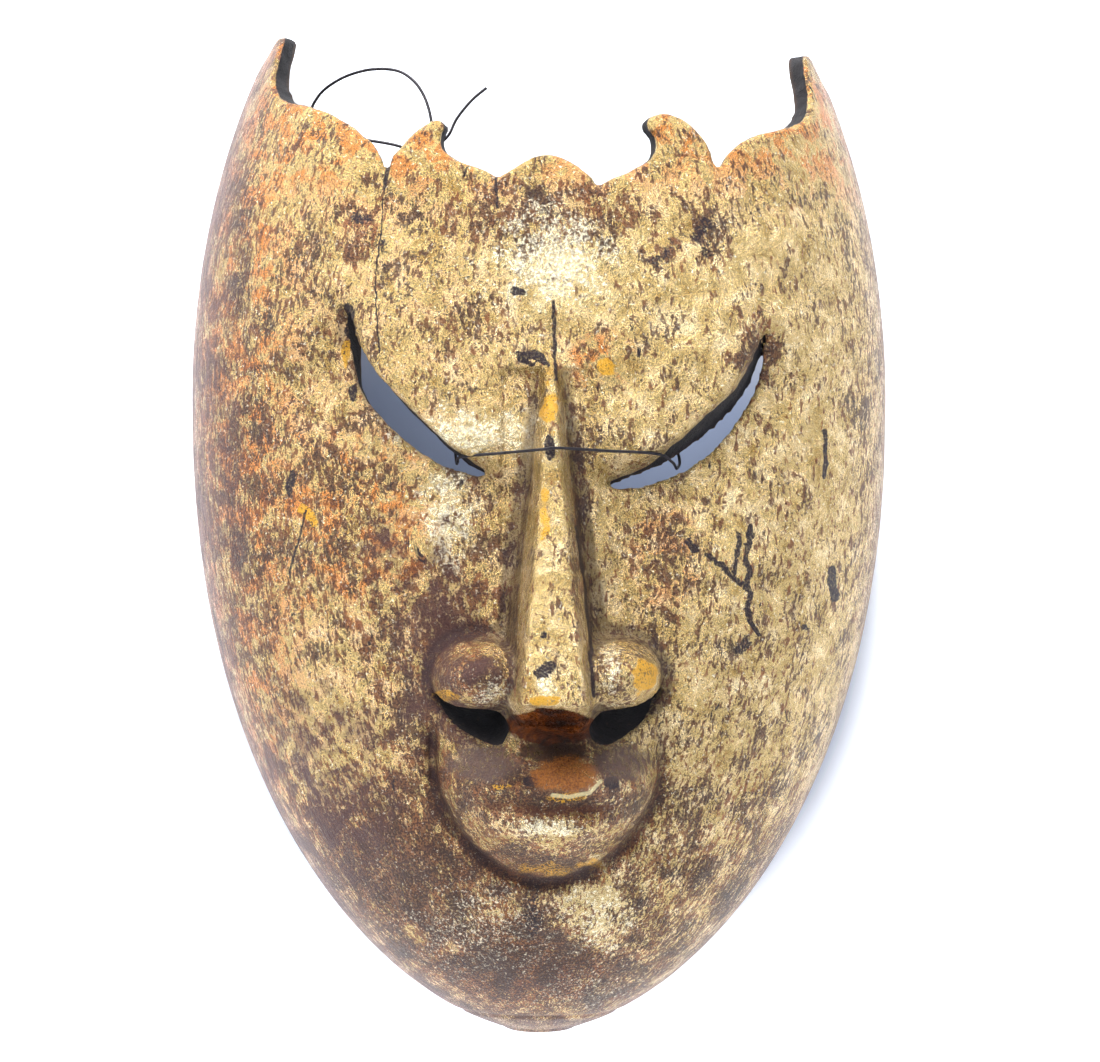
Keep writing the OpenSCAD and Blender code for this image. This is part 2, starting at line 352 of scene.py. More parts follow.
# Outlines of the two eye slits: upper edge outward, then lower edge back
SLIT_RIGHT = [
    (11.4, 12.3), (17.2, 14.5), (23.5, 17.5), (29.9, 22), (35.7, 27.4), (38.6, 31), (41.2, 36),
    (44, 42), (44.4, 41), (42.4, 33), (40, 27.9), (37.2, 23.6), (33.8, 19.4), (29.3, 15.9),
    (23.5, 12.8), (17.2, 11.2), (12.4, 10.8)]
SLIT_LEFT = [
    (-12.2, 14), (-14.6, 15.2), (-19.8, 18.5), (-26.2, 24.6), (-31.3, 30), (-35.8, 36.8),
    (-37.4, 40), (-39.4, 46), (-41.4, 43.6), (-41.0, 38), (-39.3, 32.3), (-36.8, 28.2),
    (-32.9, 23.8), (-28.1, 19.4), (-22.4, 15.7), (-17.3, 14), (-13.4, 13.3)]


def outline_table(points, x0, x1, z0, z1, step, sign=1):
    """The signed distance to a closed outline, as a table."""
    grid = np.meshgrid(np.arange(x0, x1 + step, step), np.arange(z0, z1 + step, step),
                       indexing="ij")
    return Table(x0, z0, step,
                 sign * side_distance([p[0] for p in points], [p[1] for p in points], *grid))


OUTLINE_STEPS = 3       # points between two outline points
edge = [tuple(p) for p in smooth_way(CROWN_EDGE, OUTLINE_STEPS)]
edge = [(-90, 130), (-90, 96)] + edge + [(90, 91), (90, 130)]
above = outline_table(edge, -76, 76, 64, 112, 0.25, -1)
slit_fields = [outline_table([tuple(p) for p in smooth_way(slit, OUTLINE_STEPS)],
                             -52, 52, 4, 52, 0.2) for slit in (SLIT_LEFT, SLIT_RIGHT)]


def nose_run(z):
    """0 at the top of the nose, about 1 at its tip."""
    return np.clip((38 - z) / 71, 0, 1.2)


def ridge_w(z):
    """Half width of the nose's ridge."""
    return 0.9 + 6.4 * nose_run(z) ** 1.45


def relief(x, z):
    """How far the carving stands out of the plain bowl."""
    # The nose: a wedge that ends in a sloping underside
    run = nose_run(z)
    under = np.clip((-32.9 - 0.5 * np.sin(x / 2.6) - z) / 7.2, 0, 1)
    height = 20 * (0.12 * ramp(0, 0.1, run) + 0.88 * run) * np.where(z < -33, 20 / 21.3, 1)
    height = height * (1 - 0.72 * under ** 0.8) * (1 - ramp(-39.5, -42.5, z))
    ridge = ridge_w(z) * (1 - 0.25 * under)
    foot = ridge + 2.6 + 2.3 * np.minimum(run, 1) ** 0.6
    side = np.clip((np.abs(x - 0.5) - ridge * 0.86) / (foot - ridge * 0.86), 0, 1)
    nose = height * (1 - 0.6 * side - 0.4 * side * side * (3 - 2 * side))
    nose = nose - 0.8 * ((x - 0.5) / ridge) ** 2 * (np.abs(x) < 9) * (height > 3)
    # The two nostril wings
    wing_r = (np.abs(np.abs(x + 0.3) - 13.2) / 10.1) ** 2.5 + (np.abs(z + 27.2) / 7.9) ** 2.2
    wings = 14.6 * np.clip(1 - wing_r, 0, 1) ** (0.55 + 0.4 * ramp(-29, -20, z))
    # The mouth drum, its lip boss and the two lip swells
    r = (np.abs(x / 22.3) ** 1.8 + (np.maximum(0, -46 - z) / 22.6) ** 1.8) ** (1 / 1.8)
    drum = 13.2 * np.clip(1 - r ** 2.6, 0, 1) ** 0.62 * (1 - ramp(-35, -27, z))
    lip_z = -49.6 + 1.7 * hump(x, 0, 9.5, 0, 4, 1) + 1.7 * hump(x, 0, -9.5, 0, 4, 1)
    drum = drum * (1 - 0.5 * np.clip((z - lip_z) / 9.0, 0, 1) ** 0.7)
    lips = (3.4 * hump(x, z, 3.3, -47.6, 5.6, 3.0)
            - 1.0 * np.exp(-((z + 54.0 - 0.004 * x * x) / 1.4) ** 2)
            * (1 - ramp(8, 16, np.abs(x)))
            + 1.4 * np.exp(-((z + 57.4) / 3.0) ** 2) * (1 - ramp(8, 18, np.abs(x))))
    drum = drum + lips * ramp(1.0, 0.75, r)
    out = soft_max(soft_max(nose, wings, 5.0), drum, 1.6)
    # A groove round the drum, then the brow steps above the slits
    out = out - (1.1 - 0.02 * x) * np.exp(-((r - 1.04) / 0.045) ** 2) * (1 - ramp(-40, -34, z))
    for s, far in ((-1, (-40, 45.5)), (1, (44, 41.5))):
        near = (12 * s, 13.5)
        dx, dz = far[0] - near[0], far[1] - near[1]
        t = ((x - near[0]) * dx + (z - near[1]) * dz) / (dx * dx + dz * dz)
        across = ((z - near[1]) * abs(dx) - s * (x - near[0]) * dz) / math.hypot(dx, dz)
        u = across + 7.2 * np.clip(4 * t * (1 - t), 0, 1)
        fade = ramp(-0.25, 0.2, t) * (1 - ramp(0.78, 1.2, t))
        out = out + 3.2 * fade * (ramp(-3, 3, u) * 1.5 * np.exp(-(u / 22) ** 2)
                                  - np.exp(-(u / 20) ** 2))
    # Hollows beside the nose, then the forehead's crack and a narrow groove by the ridge
    out = out - 2.2 * (hump(x, z, -15, -2, 7, 16) + hump(x, z, 15, -2, 7, 16))
    out = out - 0.9 * hump(x, z, 1.2, 42, 1.0, 7) - 0.5 * hump(x, z, 10.5, -10, 1.2, 22)
    return out


def bowl_front(x, z):
    """How far the plain bowl's face stands in front of the rim."""
    q = np.clip(np.abs(x) / np.maximum(half_w(z), 0.01), 0, 1)
    return depth(z) * (1 - q ** POWER) ** (1 / POWER)


def field():
    """The shell as a solid field on a grid: below zero inside the wood."""
    x = np.arange(-77, 77 + STEP, STEP, dtype=np.float32)
    y = np.arange(-85, 3 + STEP, STEP, dtype=np.float32)
    z = np.arange(-108, 109 + STEP, STEP, dtype=np.float32)
    X, Z = np.meshgrid(x, z, indexing="ij")
    front = bowl_front(X, Z)
    out_d = relief(X, Z) * ramp(0, 0.5, front / DEPTH)
    # Hand-cut unevenness, on the relief and then inside the hollow
    out_d += 0.35 * waves((X, Z), 17, 1) + 0.16 * waves((X, Z * 0.6), 5, 2)
    in_d = 9 * hump(X, Z, 0, -18, 7, 16) + 4 * hump(X, Z, 0, -50, 14, 12)
    in_d += 0.5 * waves((X, Z), 14, 3) + 0.28 * waves((X, Z * 0.7), 6, 4)

    def skin(t, push):
        """Rough distance to a skin t inside the bowl, moved back by push."""
        a = np.maximum(half_w(z, t), 0.3)[None, None, :]
        b = np.maximum(depth(z, t), 0.3)[None, None, :]
        yy = np.abs(y[None, :, None] + push[:, None, :]) / b
        f = ((np.abs(x)[:, None, None] / a) ** POWER + yy ** POWER) ** (1 / POWER)
        g = np.gradient(f, STEP)
        size = np.sqrt(g[0] ** 2 + g[1] ** 2 + g[2] ** 2)
        return np.clip((f - 1) / np.maximum(size, 1e-4), -9, 9).astype(np.float32)

    outer = skin(0.0, out_d)
    inner = skin(WALL, in_d)
    solid = soft_max(outer, -inner, 0.7)

    # Crown edge: cut almost straight back, but toward the axis at the hooks and horns
    top = z > TOP_START
    a = np.maximum(half_w(z[top]), 0.3)[None, None, :]
    b = np.maximum(depth(z[top]), 0.3)[None, None, :]
    r = ((np.abs(x)[:, None, None] / a) ** POWER
         + (np.abs(y)[None, :, None] / b) ** POWER) ** (1 / POWER)
    ax = np.abs(x)
    share = 0.15 + (0.5 * ramp(45, 52, ax)
                    + 0.75 * np.exp(-((ax - 20) / 2.6) ** 4))[:, None, None]
    where = x[:, None, None] / np.maximum(r, 0.2) ** share
    cut = above(where, np.broadcast_to(z[top][None, None, :], where.shape))
    cut = cut + (1 - ramp(45, 52, ax))[:, None, None] * np.clip(1 - r, 0, 0.2) * 9
    cut = cut + 0.12 * waves(np.meshgrid(x, y, z[top], indexing="ij"), 4, 5, 10)
    solid[:, :, top] = soft_max(solid[:, :, top], cut.astype(np.float32), 1.0)

    # Eye slits, leaning as they go in
    ix = np.abs(x) < 53
    iz = (z > 2) & (z < 54)
    iy = y < -28
    X3, Y3, Z3 = np.meshgrid(x[ix], y[iy], z[iz], indexing="ij")
    part = solid[np.ix_(ix, iy, iz)]
    deep = Y3 + front[np.ix_(ix, iz)][:, None, :]
    for s, lean in zip(slit_fields, (0.35 + 0.6 * ramp(26, 42, Z3), 0.22)):
        d = s(X3 - lean * deep, Z3 + 0.40 * deep)
        d = d + 0.1 + 0.12 * waves((X3, Z3), 3, 6, 8)
        part = soft_max(part, -d.astype(np.float32), 0.5)
    solid[np.ix_(ix, iy, iz)] = part

    # Nostrils, bored inward and upward
    ix = np.abs(x) < 30
    iz = (z > -56) & (z < 10)
    iy = y < -30
    X3, Y3, Z3 = np.meshgrid(x[ix], y[iy], z[iz], indexing="ij")
    part = solid[np.ix_(ix, iy, iz)]
    for s in (-1, 1):
        deep = Y3 + 63
        u0 = (X3 - s * 14.4 - 0.1 * s * deep) * s
        v0 = Z3 + 38.2 - 0.34 * deep - 0.5 * np.maximum(0, deep)
        u, v = 0.985 * u0 + 0.174 * v0, 0.985 * v0 - 0.174 * u0
        d = (np.hypot(u / np.where(u < 0, 6.6, 7.4), v / 4.1) - 1) * 4.5
        part = soft_max(part, -d.astype(np.float32), 0.9)
    solid[np.ix_(ix, iy, iz)] = part

    solid = soft_max(solid, np.broadcast_to(y[None, :, None], solid.shape), 0.9)
    return solid, outer, inner, (x, y, z), (X, Z, out_d)


def surface_nets(v, origin):
    """Points and quads through the zero level of a field."""
    inside = v < 0
    n = [s - 1 for s in v.shape]
    corners = [(i, j, k) for i in (0, 1) for j in (0, 1) for k in (0, 1)]
    count = np.zeros(n, np.uint8)
    for i, j, k in corners:
        count += inside[i:i + n[0], j:j + n[1], k:k + n[2]]
    cells = np.argwhere((count > 0) & (count < 8))
    index = np.full(n, -1, np.int32)
    index[tuple(cells.T)] = np.arange(len(cells))
    total = np.zeros((len(cells), 3))
    hits = np.zeros(len(cells))
    for c in corners:
        for ax in range(3):
            if c[ax]:
                continue
            e = list(c)
            e[ax] = 1
            p, q = cells + c, cells + e
            va, vb = v[tuple(p.T)], v[tuple(q.T)]
            cross = (va < 0) != (vb < 0)
            t = np.where(cross, va / np.where(cross, va - vb, 1), 0)
            point = p.astype(float)
            point[:, ax] += t
            total += point * cross[:, None]
            hits += cross
    verts = total / hits[:, None] * STEP + origin
    quads = []
    for ax in range(3):
        u, w = (ax + 1) % 3, (ax + 2) % 3
        lo = [slice(1, -1)] * 3
        hi = [slice(1, -1)] * 3
        lo[ax], hi[ax] = slice(0, -1), slice(1, None)
        a, b = inside[tuple(lo)], inside[tuple(hi)]
        for flip, mask in ((False, a & ~b), (True, ~a & b)):
            at = np.argwhere(mask) + 1
            at[:, ax] -= 1
            ring = []
            for du, dw in ((-1, -1), (0, -1), (0, 0), (-1, 0)):
                c = at.copy()
                c[:, u] += du
                c[:, w] += dw
                ring.append(index[tuple(c.T)])
            ring = np.stack(ring, 1)
            quads.append(ring[:, ::-1] if flip else ring)
    return verts, np.concatenate(quads)


def relax(verts, quads, rounds, amount):
    """Smooth the points, then push back so that the shape doesn't shrink."""
    edges = np.concatenate([quads[:, [i, (i + 1) % 4]] for i in range(4)])
    n = len(verts)
    for _ in range(rounds):
        for w in (amount, -amount * 1.05):
            acc = np.zeros((n, 3))
            for k in range(3):
                acc[:, k] = np.bincount(edges[:, 0], verts[edges[:, 1], k], n) \
                    + np.bincount(edges[:, 1], verts[edges[:, 0], k], n)
            deg = np.bincount(edges.ravel(), minlength=n)
            verts = verts + w * (acc / deg[:, None] - verts)
    return verts


def read_grid(v, axes, pts):
    """Trilinear read of a grid at points."""
    idx, fr = [], []
    for k in range(3):
        u = np.clip((pts[:, k] - axes[k][0]) / (axes[k][1] - axes[k][0]), 0, len(axes[k]) - 1.001)
        i = u.astype(np.int32)
        idx.append(i)
        fr.append(u - i)
    out = 0
    for i in (0, 1):
        for j in (0, 1):
            for k in (0, 1):
                w = ((fr[0] if i else 1 - fr[0]) * (fr[1] if j else 1 - fr[1])
                     * (fr[2] if k else 1 - fr[2]))
                out = out + w * v[idx[0] + i, idx[1] + j, idx[2] + k]
    return out


def blur(a, r):
    """Box blur of a plane, twice."""
    for _ in range(2):
        for ax in (0, 1):
            p = np.pad(a, [(r, r) if k == ax else (0, 0) for k in (0, 1)], mode="edge")
            c = np.cumsum(p, axis=ax)
            c = np.concatenate([np.zeros_like(np.take(c, [0], ax)), c], ax)
            n = a.shape[ax]
            a = (np.take(c, range(2 * r + 1, 2 * r + 1 + n), ax)
                 - np.take(c, range(0, n), ax)) / (2 * r + 1)
    return a


solid, outer, inner, axes, (gx, gz, out_d) = field()
verts, quads = surface_nets(solid, np.array([a[0] for a in axes]))
verts = relax(verts, quads, 2, 0.5)
print("shell:", len(verts), "points,", len(quads), "quads")

below = -read_grid(outer, axes, verts)      # how far under the outer skin a point lies
gild = 1 - ramp(0.35, 1.5, below)
back_side = 1 - ramp(0.4, 1.6, np.abs(read_grid(inner, axes, verts)))
bend = out_d - blur(out_d, 3)               # proud edges above zero, creases below
crease = Table(gx[0, 0], gz[0, 0], STEP, bend)(verts[:, 0], verts[:, 2])
# Knife strokes follow the outline: 70 mm across to the rim at every height
flow = np.stack([70 * verts[:, 0] / np.maximum(half_w(verts[:, 2]), 12), verts[:, 1] * 1.2,
                 verts[:, 2] * 0.45], 1)

mesh = bpy.data.meshes.new("mask_shell_carved")
mesh.vertices.add(len(verts))
mesh.vertices.foreach_set("co", (verts * MM).ravel())
mesh.loops.add(quads.size)
mesh.loops.foreach_set("vertex_index", quads.ravel())
mesh.polygons.add(len(quads))
mesh.polygons.foreach_set("loop_start", np.arange(0, quads.size, 4))
mesh.polygons.foreach_set("loop_total", np.full(len(quads), 4))
mesh.polygons.foreach_set("use_smooth", np.ones(len(quads), bool))
mesh.update(calc_edges=True)
mesh.validate()

# Where the face is worn, stained or chipped, and where shade and highlights are painted on it, as
# soft masks on the points; the material breaks up their edges. A spot is at x and z, with its half
# width, its half height and how ragged it is
vx, vz = verts[:, 0], verts[:, 2]
rough_edge = 0.55 * waves((vx, vz), 6, 11) + 0.35 * waves((vx, vz), 2.6, 12)
shake = [0.45 * waves((vx, vz), 3.5, 13), 0.45 * waves((vx, vz), 3.5, 14)]


def spot(cx, cz, rx, rz, warp=0.0, soft=0.3):
    """1 inside an ellipse, fading from a share soft of its radius to a warped edge."""
    r = np.hypot((vx - cx) / rx, (vz - cz) / rz) + warp * 0.5 * rough_edge
    return 1 - ramp(soft, 1.0, r)


def line(points, wide):
    """1 along a shaken line through points, fading out over about its half width."""
    d = np.full(len(vx), 1e9)
    for (x0, z0), (x1, z1) in zip(points, points[1:]):
        px, pz = vx + shake[0] - x0, vz + shake[1] - z0
        dx, dz = x1 - x0, z1 - z0
        t = np.clip((px * dx + pz * dz) / (dx * dx + dz * dz), 0, 1)
        d = np.minimum(d, np.hypot(px - t * dx, pz - t * dz))
    return 1 - ramp(0.3 * wide, 1.7 * wide, d)


def together(*pairs):
    """Sum of masks, each with its strength."""
    return sum(much * where for much, where in pairs)


masks = {
    "gild": gild, "inside": back_side, "crease": crease,
    # wear, with painted shade that darkens the bottom, the muzzle and the chin, and painted
    # highlight where a spot is negative
    "wear_shade_and_highlight": together(
        (0.75, ramp(-46, -68, vx)), (0.75, spot(-24, -24, 18, 34, 0.8)),
        (0.5, spot(-46, 4, 24, 44, 1.0)), (0.35, spot(42, -6, 22, 44, 1.0)),
        (0.4, spot(-44, 58, 16, 20, 1.0)),
        (0.45, spot(21, -4, 9, 22, 0.8)), (0.6, spot(-34, -66, 28, 26, 0.8)),
        (1.1, spot(0, 64, 30, 10, 1.1)), (1.0, spot(33, 62, 7, 13, 0.9)),
        (0.9, spot(42, 38, 7, 12, 0.9)), (0.55, spot(-8, -86, 32, 16, 0.9)),
        (0.9, spot(24, 56, 6, 6, 1.2)), (0.8, spot(-37, 62, 6, 8, 1.2)),
        (0.5, ramp(54, 72, vx)), (0.6, spot(-15, -2, 8, 26, 0.9)),
        (0.5, spot(-16, 42, 12, 12, 0.9)), (0.9, spot(0, -48, 28, 11, 0.3)),
        (0.7, spot(-14, -27, 11, 8, 0.3)), (0.35, spot(14, -27, 10, 8, 0.3)),
        (0.5, spot(-2, -66, 24, 7, 0.4)), (0.8, ramp(-30, -66, vz)),
        (0.5, spot(0, -88, 30, 16, 0.8)),
        (-0.5, spot(-19, 3, 8, 14, 0.8)), (-0.2, spot(38, -2, 18, 36, 0.8)),
        (-0.35, spot(-2, 54, 18, 14, 0.9)), (-0.3, spot(28, 60, 24, 18, 0.8)),
        (-0.6, spot(-13, 20, 22, 7, 0.8)), (-0.9, spot(9, -76, 10, 12, 1.3)),
        (-0.6, spot(0, -57.4, 11, 3.4, 0.6)), (0.6, spot(5.6, -2, 2.6, 30, 0.7)),
        (-0.2, spot(-1.5, -5, 3, 28, 0.4))),
    # painted highlights and glints
    "painted_highlight": np.maximum.reduce([
        spot(-20, 4, 7, 14, 0.9), spot(1, 56, 16, 14, 0.9), 0.6 * spot(10, -76, 9, 11, 1.3),
        spot(-14, 21, 20, 6, 0.9), spot(-1, -57.2, 9.5, 2.6, 0.5), 0.9 * spot(-12, -30, 5, 4, 0.9),
        0.9 * spot(12, -26, 3, 6, 0.9), spot(-1, -29, 2.4, 4.5, 0.8),
        0.6 * spot(-12, -80, 20, 12, 1.2), 0.5 * spot(8, -92, 14, 7, 1.2)]),
    "orange": np.clip(0.25 * ramp(5, -30, vx) + np.maximum.reduce([
        ramp(-44, -62, vx) * 0.9, spot(-40, 2, 22, 22, 0.9), ramp(62, 80, vz),
        spot(10, 36, 9, 7, 0.9), 0.7 * spot(24, -4, 9, 14, 0.9),
        line([(-50, 8), (-42, 11), (-35, 12)], 2.2), 0.8 * spot(-58, -46, 8, 22, 0.9),
        0.8 * spot(2, -90, 14, 5, 1.0), 0.6 * spot(-4, -72, 4, 6, 1.0)]), 0, 1),
    "yellow": np.maximum.reduce([
        0.85 * spot(0.3, 25, 2.2, 8, 0.9), 0.8 * spot(-40.3, 36.5, 1.4, 6.5, 1.0),
        0.6 * spot(-1.2, 6, 1.5, 12, 1.2), spot(11.6, 34, 2.8, 2.8, 0.6),
        0.9 * spot(19, -27, 5, 6, 1.2),
        0.9 * spot(-20, -31.3, 5, 2, 0.8), 0.6 * spot(0, -66, 17, 2.8, 0.8),
        0.9 * spot(-2, -31.5, 7, 1.6, 0.8), spot(-48, 5, 2.4, 2.6, 1.2),
        0.8 * spot(3.3, -51, 9, 1.8, 0.7), 0.7 * spot(-9, -49, 5, 1.2, 0.8)]),
    "purple": np.maximum.reduce([
        ramp(-58, -70, vx), spot(-46, -52, 22, 28, 0.9), spot(-20, -24, 13, 26, 0.8),
        0.8 * spot(-28, -2, 12, 10, 1.0)]),
    "dark": np.maximum.reduce([
        0.9 * spot(-4.5, 36.3, 4.4, 2.2, 1.8), 0.6 * spot(31, 60, 4.0, 5.0, 1.2),
        0.55 * spot(23, 56, 3.2, 3.2, 1.2), 0.8 * spot(-5.4, 49, 2.4, 1.2, 1.4),
        0.5 * spot(-2.5, -75, 3.6, 9, 1.8), 0.6 * spot(-37, 64, 3.4, 2.4, 1.4),
        0.6 * spot(-33, 58, 2.0, 4.5, 1.4),
        spot(-4, -48, 2.3, 1.5, 0.3), spot(12.4, -48.3, 2.4, 1.9, 0.3),
        0.8 * spot(-1.6, -19, 1.3, 1.0, 1.5), 0.8 * spot(-0.6, -25.4, 2.8, 2.0, 2.4),
        spot(0, 18, 1.4, 4.4, 0.5), 0.6 * spot(53, -18, 2, 2, 1.2),
        0.6 * spot(39.5, -22, 3.0, 2.4, 1.6),
        line([(41.3, 2.3), (40.2, -3), (40.4, -8.5), (40.7, -11.5), (40.1, -14.5),
              (42.7, -19.5)], 0.62),
        line([(32.4, -3.5), (36.4, -7), (40, -10)], 0.5), line([(38.7, 0.5), (37.7, -6.5)], 0.45),
        line([(28.2, -0.5), (29.6, -2.7)], 0.6), line([(56.9, 22), (56.7, 12)], 0.5),
        line([(58.5, -6.5), (59.6, -12.5)], 0.8), line([(-51.5, 13), (-51.8, 9)], 0.6),
        line([(-39.9, 46.5), (-39, 38)], 0.7), 0.8 * spot(-38.7, 29, 1.6, 2.8, 1.0)]),
    # the nose's underside: its orange ground darkened with painted shade
    "nose_under_shade": spot(0.6, -37.2, 11, 4.6, 0.2, 0.6),
    # painted shade on the upper lip's flanks, below the nose
    "upper_lip_shade": np.maximum(spot(-13, -44.6, 10.5, 5.4, 0.3), spot(14, -44.6, 9, 5.2, 0.3)),
    # painted shade on the brown ground just under the nose
    "philtrum_shade": spot(0.5, -42.4, 10, 3.2, 0.3),
    "mouth": line([(-12, -53.4), (0, -54), (12, -53.4)], 0.9),
    "boss": spot(3.2, -46.6, 8.2, 4.8, 0.3, 0.4)}
for name, values in masks.items():
    mesh.attributes.new(name, "FLOAT", "POINT").data.foreach_set(
        "value", values.astype(np.float32))
mesh.attributes.new("flow", "FLOAT_VECTOR", "POINT").data.foreach_set(
    "vector", flow.astype(np.float32).ravel())


def shell_material():
    """Worn leaf over coloured grounds on the face, black cut edges, bare wood inside."""
    m, n, bsdf = new_material("worn_gilding_on_wood")
    co = n.add("ShaderNodeTexCoord").outputs["Object"]
    mm = n.vec("SCALE", co, 1000.0)
    flat = n.vec("MULTIPLY", mm, (1, 0, 1))
    mask = {name: n.add("ShaderNodeAttribute", attribute_name=name).outputs["Fac"]
            for name in masks}
    flow = n.add("ShaderNodeAttribute", attribute_name="flow").outputs["Vector"]

    def most(*values):
        out = values[0]
        for v in values[1:]:
            out = n.math("MAXIMUM", out, v)
        return out

    def times(a, b):
        return n.math("MULTIPLY", a, b)

    dash = n.noise(flow, 1.0, 3, 0.68, 0.35)      # knife strokes and worn dashes
    speck = n.noise(mm, 2.3, 3, 0.72)             # fine speckle
    patch = n.noise(mm, 0.12, 4, 0.68, 0.6)       # patches of about a centimetre
    other = n.noise(mm, 0.19, 4, 0.7, 0.5)

    # The face plane, swayed a little so that cracks drawn on it aren't straight
    sway = n.math("MULTIPLY", n.math("SUBTRACT", patch, 0.5), 2.5)
    push = n.add("ShaderNodeCombineXYZ")
    n.link(sway, push.inputs[0])
    drawn = n.vec("ADD", flat, push.outputs[0])

    def torn(name, low, high, much=1.0):
        """A mask with its edge broken up by the speckle."""
        return n.step(n.math("MULTIPLY_ADD", n.math("SUBTRACT", speck, 0.5), much, mask[name]),
                      low, high)

    def hairline(points, wide):
        """1 along a thin crack through points on the face."""
        best = None
        for a, b in zip(points, points[1:]):
            ba = Vector((b[0] - a[0], 0, b[1] - a[1]))
            pa = n.vec("SUBTRACT", drawn, (a[0], 0, a[1]))
            h = n.math("DIVIDE", n.vec("DOT_PRODUCT", pa, tuple(ba), out=1), ba.length_squared,
                       clamp=True)
            d = n.vec("LENGTH", n.vec("SUBTRACT", pa, n.vec("SCALE", tuple(ba), h)), out=1)
            best = d if best is None else n.math("MINIMUM", best, d)
        return n.step(best, wide, wide * 0.5)

    # Wear and painted shade grow in the creases, and vary from patch to patch
    wear_shade_and_highlight = n.math("MULTIPLY_ADD", n.step(mask["crease"], -0.1, -0.9), 0.3, mask["wear_shade_and_highlight"])
    wear_shade_and_highlight = n.math("MULTIPLY_ADD", n.math("SUBTRACT", patch, 0.5), 3.2, wear_shade_and_highlight)

    leaf = n.ramp(other, [(0.32, rgb(172, 140, 82)), (0.5, rgb(208, 182, 124)),
                          (0.68, rgb(246, 228, 180))])
    # Orange ground that shows through the leaf
    orange = times(n.step(other, 0.44, 0.57), n.math("MULTIPLY_ADD", mask["orange"], 0.7, 0.16))
    colour = n.mix(orange, leaf, rgb(196, 118, 46))
    # Leaf worn through to brown in strokes, then in fine dots, where wear and painted shade are
    # marked
    browned = n.step(n.math("MULTIPLY_ADD", wear_shade_and_highlight, 0.13, dash), 0.55, 0.61)
    colour = n.mix(times(browned, 0.86), colour, n.ramp(patch, [
        (0.35, rgb(146, 76, 34)), (0.56, rgb(92, 48, 30)), (0.72, rgb(52, 31, 31))]))
    dots = n.step(n.math("MULTIPLY_ADD", wear_shade_and_highlight, 0.085, speck), 0.575, 0.63)
    colour = n.mix(times(dots, 0.86), colour, rgb(52, 31, 28))

    # Painted highlights: the leaf lightened toward cream, then painted glints
    colour = n.mix(times(mask["painted_highlight"], times(n.math("SUBTRACT", 1.0, browned), 0.3)), colour,
                   rgb(240, 226, 186))
    painted_glint = n.step(n.math("MULTIPLY_ADD", mask["painted_highlight"], 0.13, n.noise(mm, 1.3, 4, 0.8, 0.3)),
                   0.60, 0.65)
    painted_glint = times(painted_glint, n.math("SUBTRACT", 1.0, times(dots, 0.8)))
    colour = n.mix(times(painted_glint, 0.85), colour, rgb(252, 240, 208))
    yellow = times(torn("yellow", 0.4, 0.62), n.step(dots, 1.0, 0.2))
    colour = n.mix(times(yellow, 0.9), colour, rgb(228, 168, 36))

    # Stains, then chips, smears and hairlines down to the black ground
    purple = times(mask["purple"], n.step(patch, 0.43, 0.58))
    colour = n.mix(times(purple, 0.6), colour, rgb(88, 54, 52))
    cracks = most(hairline([(1, 47), (1.3, 31.5)], 0.5), hairline([(-10.3, 72), (-10.1, 66)], 0.35),
                  hairline([(-31.6, 76), (-32.4, 70)], 0.5),
                  hairline([(-33, 68), (-34.5, 50), (-33.5, 37)], 0.2),
                  hairline([(-48.6, 5.5), (-51.8, -8)], 0.3),
                  hairline([(8.6, -31), (7.8, -16), (5.6, 2)], 0.5))
    dark = most(n.step(n.noise(flow, 0.22, 4, 0.74, 1.0), 0.665, 0.70),
                torn("dark", 0.42, 0.58, 0.9), cracks)
    colour = n.mix(times(dark, n.step(speck, 0.3, 0.52, 0.6, 1.0)), colour, rgb(42, 30, 36))

    # The sides near the rim (y is 0 there) are greyed with a painted cool sheen and darkened in
    # streaks, partly with painted shade
    sep = n.add("ShaderNodeSeparateXYZ")
    n.link(mm, sep.inputs[0])
    y = sep.outputs["Y"]
    streak = n.noise(flow, 0.5, 3, 0.7, 0.3)
    colour = n.mix(times(times(n.step(y, -34.0, -6.0), n.step(streak, 0.40, 0.58)), 0.7), colour,
                   rgb(146, 112, 104))
    colour = n.mix(times(times(n.step(y, -30.0, -4.0), n.step(streak, 0.52, 0.43)), 0.85), colour,
                   rgb(66, 44, 44))

    # Round the mouth and under the nose: painted shade in the creases, on the upper lip and under
    # the nose, the mouth line, the lip boss and a painted highlight under it
    crease_shade = times(n.step(mask["crease"], -0.5, -1.25), 0.6)
    colour = n.mix(crease_shade, colour, rgb(48, 30, 34))
    # Painted shade on the upper lip's flanks, below the nose
    colour = n.mix(times(torn("upper_lip_shade", 0.05, 0.85, 0.9), 0.8), colour, rgb(96, 76, 70))
    # The brown ground just under the nose, darkened with painted shade
    colour = n.mix(times(torn("philtrum_shade", 0.2, 0.6, 0.7), 0.85), colour, rgb(60, 38, 26))
    colour = n.mix(times(torn("mouth", 0.35, 1.0, 1.4), 0.55), colour, rgb(92, 48, 30))
    # The nose's underside: its orange ground darkened with painted shade
    colour = n.mix(torn("nose_under_shade", 0.3, 0.55, 0.6), colour, n.ramp(other, [
        (0.4, rgb(36, 18, 10)), (0.53, rgb(86, 40, 10)), (0.64, rgb(136, 72, 14))]))
    colour = n.mix(times(torn("boss", 0.15, 0.8, 1.2), 0.8), colour, n.ramp(speck, [
        (0.4, rgb(120, 62, 22)), (0.6, rgb(190, 118, 46))]))
